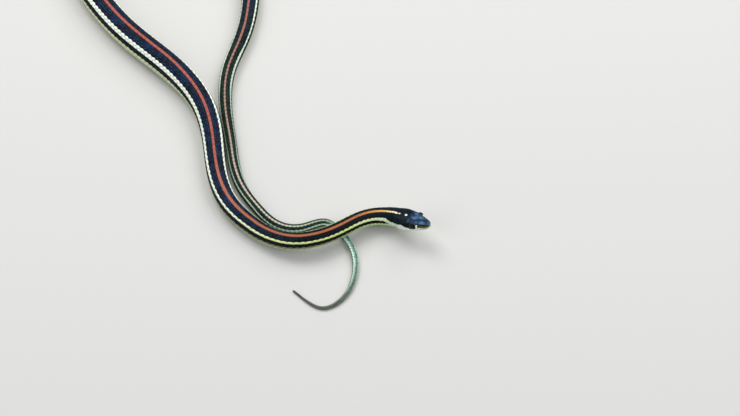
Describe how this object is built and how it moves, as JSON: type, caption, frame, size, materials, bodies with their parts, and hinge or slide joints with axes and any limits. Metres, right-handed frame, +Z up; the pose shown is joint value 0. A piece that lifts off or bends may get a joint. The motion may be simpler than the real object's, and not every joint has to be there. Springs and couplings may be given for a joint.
{
  "type": "garter snake model",
  "caption": "Life-size still model of a western ribbon snake, a slender striped garter snake, lying in a long open loop with its head raised over its tail.",
  "frame": {"origin": "on the ground, in the middle of the rectangle that the animal covers", "axes": "+Z up from the ground; the head is at +X and -Y; -Y is the side the picture was taken from"},
  "size_m": [0.1953, 0.2684, 0.0148],
  "materials": {
    "back": "satin keeled scales, blue-black, with an orange-red stripe and two pale yellow ones",
    "head": "smooth glossy plates, blue-black over pale lips",
    "jaw": "smooth pale green-white plates",
    "tail": "satin scales, dark with pale mint stripes",
    "eye": "wet-looking clear cap over a round black pupil and a dark bronze ring"
  },
  "bodies": {
    "root": {"head": "head", "lower_jaw": "jaw", "eye_left": "eye", "eye_right": "eye", "neck": "back", "trunk_1": "back", "trunk_2": "back", "trunk_3": "back", "trunk_4": "back", "trunk_5": "back", "trunk_6": "back", "trunk_7": "back", "trunk_8": "back", "trunk_9": "back", "trunk_10": "back", "tail_1": "tail", "tail_2": "tail", "tail_3": "tail", "tail_4": "tail", "tail_5": "tail", "tail_6": "tail"}
  },
  "joints": []
}
